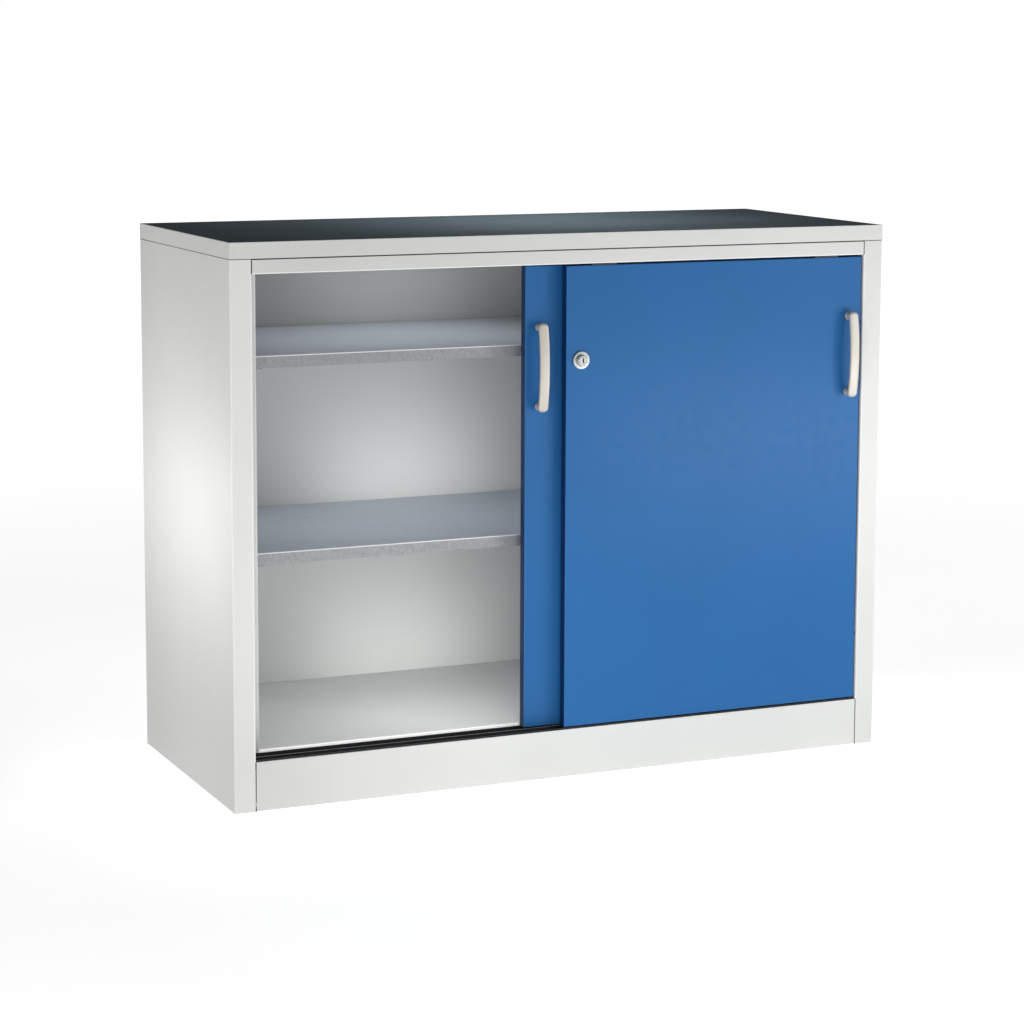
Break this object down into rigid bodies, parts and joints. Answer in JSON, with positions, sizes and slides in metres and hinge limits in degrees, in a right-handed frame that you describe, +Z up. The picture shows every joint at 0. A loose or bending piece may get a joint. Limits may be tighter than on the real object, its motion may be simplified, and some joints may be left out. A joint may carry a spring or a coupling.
{
  "type": "sliding door cabinet",
  "caption": "Low sheet steel cabinet with two sliding doors that pass each other, push lock, bow handles, galvanised shelves and a ribbed rubber mat on top.",
  "frame": {"origin": "on the floor, at the middle of the cabinet's overall width and of its overall depth, handles included", "axes": "+X to the right seen from the front, +Y from the front to the back, +Z up; the front faces -Y"},
  "size_m": [1.2, 0.525, 0.93],
  "materials": {
    "body_paint": "light grey powder coat, fine grain, half matt",
    "door_paint": "blue powder coat, fine grain, half matt",
    "zinc": "galvanised, with a faint spangle",
    "track_plastic": "black, half matt",
    "mat_rubber": "slate grey, finely ribbed",
    "handle_metal": "satin, pale silver",
    "nickel": "nickel plated, satin",
    "fastener_steel": "zinc plated",
    "nylon": "dark grey, smooth",
    "buffer_rubber": "black, matt"
  },
  "bodies": {
    "cabinet": {"back_panel": "body_paint", "door_buffer_left_lower": "buffer_rubber", "door_buffer_left_upper": "buffer_rubber", "door_buffer_right_lower": "buffer_rubber", "door_buffer_right_upper": "buffer_rubber", "door_stop_inner": "nylon", "door_stop_outer": "nylon", "floor_panel": "body_paint", "header_rail": "body_paint", "lower_track": "track_plastic", "plinth_panel": "body_paint", "rubber_mat": "mat_rubber", "shelf_clip_lower_front_left": "zinc", "shelf_clip_lower_front_right": "zinc", "shelf_clip_lower_rear_left": "zinc", "shelf_clip_lower_rear_right": "zinc", "shelf_clip_upper_front_left": "zinc", "shelf_clip_upper_front_right": "zinc", "shelf_clip_upper_rear_left": "zinc", "shelf_clip_upper_rear_right": "zinc", "shelf_lower": "zinc", "shelf_upper": "zinc", "side_panel_left": "body_paint", "side_panel_right": "body_paint", "top_panel": "body_paint", "upper_rail": "zinc", "upright_front_left": "body_paint", "upright_front_right": "body_paint", "upright_rear_left": "body_paint", "upright_rear_right": "body_paint"},
    "inner_door": {"inner_door_panel": "door_paint", "inner_door_stiffener": "zinc", "inner_handle": "handle_metal", "inner_handle_screw_lower": "fastener_steel", "inner_handle_screw_upper": "fastener_steel", "inner_roller_carriage_left": "nylon", "inner_roller_carriage_right": "nylon", "inner_top_guide_left": "nylon", "inner_top_guide_right": "nylon", "strike_bracket": "zinc"},
    "outer_door": {"lock_housing": "nickel", "lock_nut": "fastener_steel", "outer_door_panel": "door_paint", "outer_door_stiffener": "zinc", "outer_handle": "handle_metal", "outer_handle_screw_lower": "fastener_steel", "outer_handle_screw_upper": "fastener_steel", "outer_roller_carriage_left": "nylon", "outer_roller_carriage_right": "nylon", "outer_top_guide_left": "nylon", "outer_top_guide_right": "nylon"},
    "lock_cylinder": {"lock_plunger": "nickel"},
    "key_plug": {"lock_rotor": "nickel"},
    "inner_wheel_left": {"inner_roller_left": "nylon"},
    "inner_wheel_right": {"inner_roller_right": "nylon"},
    "outer_wheel_left": {"outer_roller_left": "nylon"},
    "outer_wheel_right": {"outer_roller_right": "nylon"}
  },
  "joints": [
    {"name": "inner_door_slide", "type": "slide", "parent": "cabinet", "child": "inner_door", "axis": [1, 0, 0], "range_m": [-0.4863, 0]},
    {"name": "outer_door_slide", "type": "slide", "parent": "cabinet", "child": "outer_door", "axis": [1, 0, 0], "range_m": [-0.028, 0]},
    {"name": "lock_push", "type": "slide", "parent": "outer_door", "child": "lock_cylinder", "axis": [0, 1, 0], "range_m": [0, 0.0065], "stiffness_N_per_m": 500, "springref_m": -0.006},
    {"name": "key_turn", "type": "hinge", "parent": "lock_cylinder", "child": "key_plug", "pos_m": [0.0178, -0.2345, 0.716], "axis": [0, 1, 0], "range_deg": [0, 90]},
    {"name": "inner_roller_left_spin", "type": "hinge", "parent": "inner_door", "child": "inner_wheel_left", "pos_m": [-0.004, -0.202, 0.0918], "axis": [0, 1, 0], "continuous": true},
    {"name": "inner_roller_right_spin", "type": "hinge", "parent": "inner_door", "child": "inner_wheel_right", "pos_m": [0.4255, -0.202, 0.0918], "axis": [0, 1, 0], "continuous": true},
    {"name": "outer_roller_left_spin", "type": "hinge", "parent": "outer_door", "child": "outer_wheel_left", "pos_m": [0.0608, -0.226, 0.0918], "axis": [0, 1, 0], "continuous": true},
    {"name": "outer_roller_right_spin", "type": "hinge", "parent": "outer_door", "child": "outer_wheel_right", "pos_m": [0.4903, -0.226, 0.0918], "axis": [0, 1, 0], "continuous": true}
  ],
  "couplings": [
    {"joint": "inner_roller_left_spin", "follows": "inner_door_slide", "rad_per_m": 54.054},
    {"joint": "inner_roller_right_spin", "follows": "inner_door_slide", "rad_per_m": 54.054},
    {"joint": "outer_roller_left_spin", "follows": "outer_door_slide", "rad_per_m": 54.054},
    {"joint": "outer_roller_right_spin", "follows": "outer_door_slide", "rad_per_m": 54.054}
  ]
}
